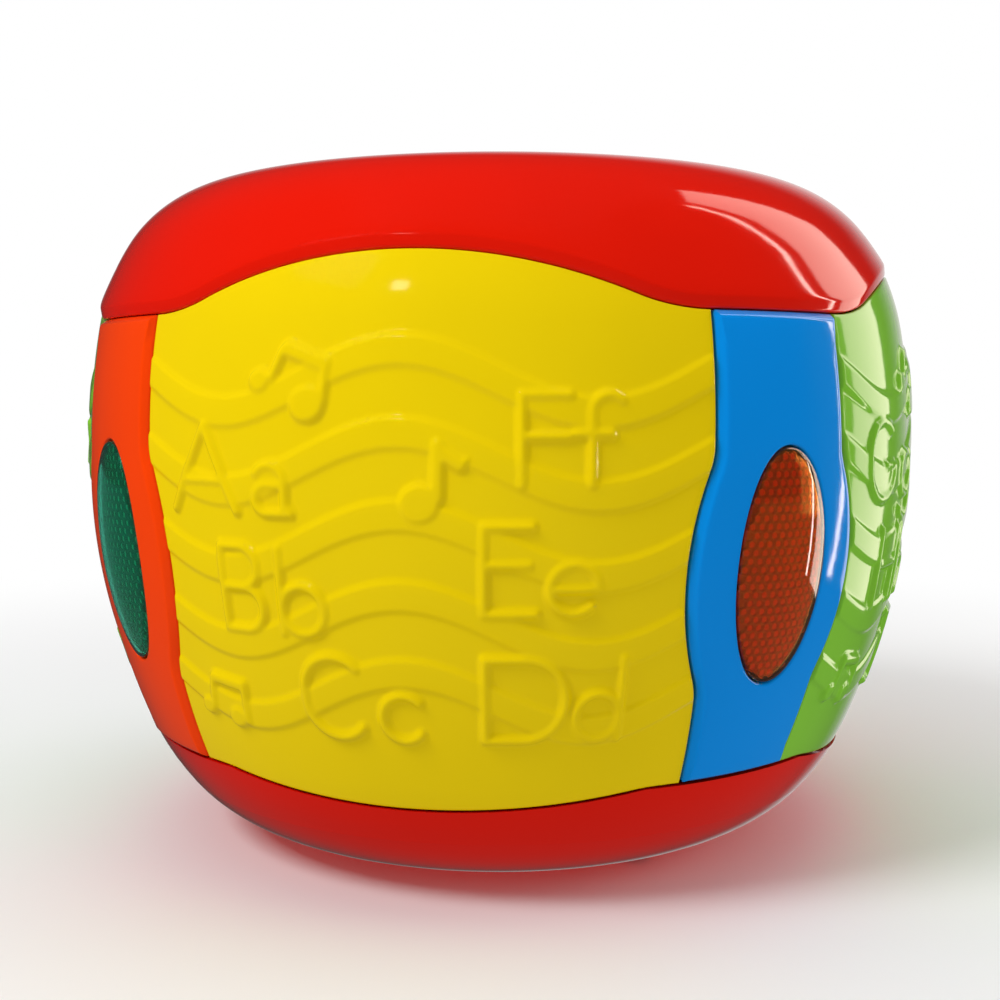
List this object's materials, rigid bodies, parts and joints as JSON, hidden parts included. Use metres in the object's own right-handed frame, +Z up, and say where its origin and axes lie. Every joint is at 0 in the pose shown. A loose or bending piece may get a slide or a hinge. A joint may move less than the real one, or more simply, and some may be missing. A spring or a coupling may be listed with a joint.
{
  "type": "baby activity drum toy",
  "caption": "Round barrel-sided baby activity toy: embossed letter panels between columns with lamp lenses, and a sprung drum head that is pressed to play.",
  "frame": {"origin": "on the table, under the centre of the drum", "axes": "+Z up, -Y out through the front panel, +X to the right of someone facing the front panel"},
  "size_m": [0.2282, 0.2282, 0.177],
  "materials": {
    "red_shell": "glossy moulded",
    "yellow_panel": "glossy moulded",
    "green_panel": "glossy moulded",
    "blue_column": "glossy moulded",
    "orange_column": "glossy moulded",
    "green_lens": "polished translucent",
    "red_lens": "polished translucent",
    "white_head": "frosted translucent",
    "white_plastic": "satin moulded",
    "black_plastic": "satin moulded",
    "circuit_board": "solder mask",
    "lamp": "clear epoxy",
    "grey_rubber": "matt",
    "silicone": "matt",
    "steel": "zinc plated",
    "paper_cone": "pressed",
    "cell_wrap": "printed sleeve",
    "lead_sleeve": "soft PVC"
  },
  "bodies": {
    "housing": {"back_left_column": "blue_column", "back_left_lamp_board": "circuit_board", "back_left_lamp_leads": "lead_sleeve", "back_left_lamp_led": "lamp", "back_left_lens": "red_lens", "back_panel": "yellow_panel", "back_right_column": "orange_column", "back_right_lamp_board": "circuit_board", "back_right_lamp_leads": "lead_sleeve", "back_right_lamp_led": "lamp", "back_right_lens": "green_lens", "base_shell": "red_shell", "battery_box": "red_shell", "battery_box_screws": "steel", "battery_cell_1": "cell_wrap", "battery_cell_2": "cell_wrap", "battery_cell_3": "cell_wrap", "battery_leads": "lead_sleeve", "battery_plates": "steel", "battery_springs": "steel", "board_parts": "black_plastic", "board_screws": "steel", "case_screws": "steel", "deck_screws": "steel", "front_left_column": "orange_column", "front_left_lamp_board": "circuit_board", "front_left_lamp_leads": "lead_sleeve", "front_left_lamp_led": "lamp", "front_left_lens": "green_lens", "front_panel": "yellow_panel", "front_right_column": "blue_column", "front_right_lamp_board": "circuit_board", "front_right_lamp_leads": "lead_sleeve", "front_right_lamp_led": "lamp", "front_right_lens": "red_lens", "head_bumper": "silicone", "head_lamps": "lamp", "head_leads": "lead_sleeve", "head_springs": "steel", "head_switch_board": "circuit_board", "head_switch_dome": "silicone", "inner_deck": "white_plastic", "left_panel": "green_panel", "main_board": "circuit_board", "power_switch_body": "black_plastic", "right_panel": "green_panel", "rubber_feet": "grey_rubber", "speaker_basket": "steel", "speaker_cone": "paper_cone", "speaker_gasket": "silicone", "speaker_leads": "lead_sleeve", "speaker_magnet": "steel", "switch_leads": "lead_sleeve", "top_rim": "red_shell"},
    "drum_head": {"drum_head": "white_head"},
    "power_knob": {"power_knob": "black_plastic"},
    "battery_door": {"battery_door": "red_shell", "battery_door_screws": "steel"}
  },
  "joints": [
    {"name": "head_press", "type": "slide", "parent": "housing", "child": "drum_head", "axis": [0, 0, -1], "range_m": [0, 0.003], "stiffness_N_per_m": 1500, "springref_m": -0.002, "deforming": ["head_springs", "head_switch_dome"]},
    {"name": "power_slide", "type": "slide", "parent": "housing", "child": "power_knob", "axis": [0, 1, 0], "range_m": [0, 0.008]},
    {"name": "battery_door_lift", "type": "slide", "parent": "housing", "child": "battery_door", "axis": [0, 0, -1], "range_m": [0, 0.024]}
  ]
}
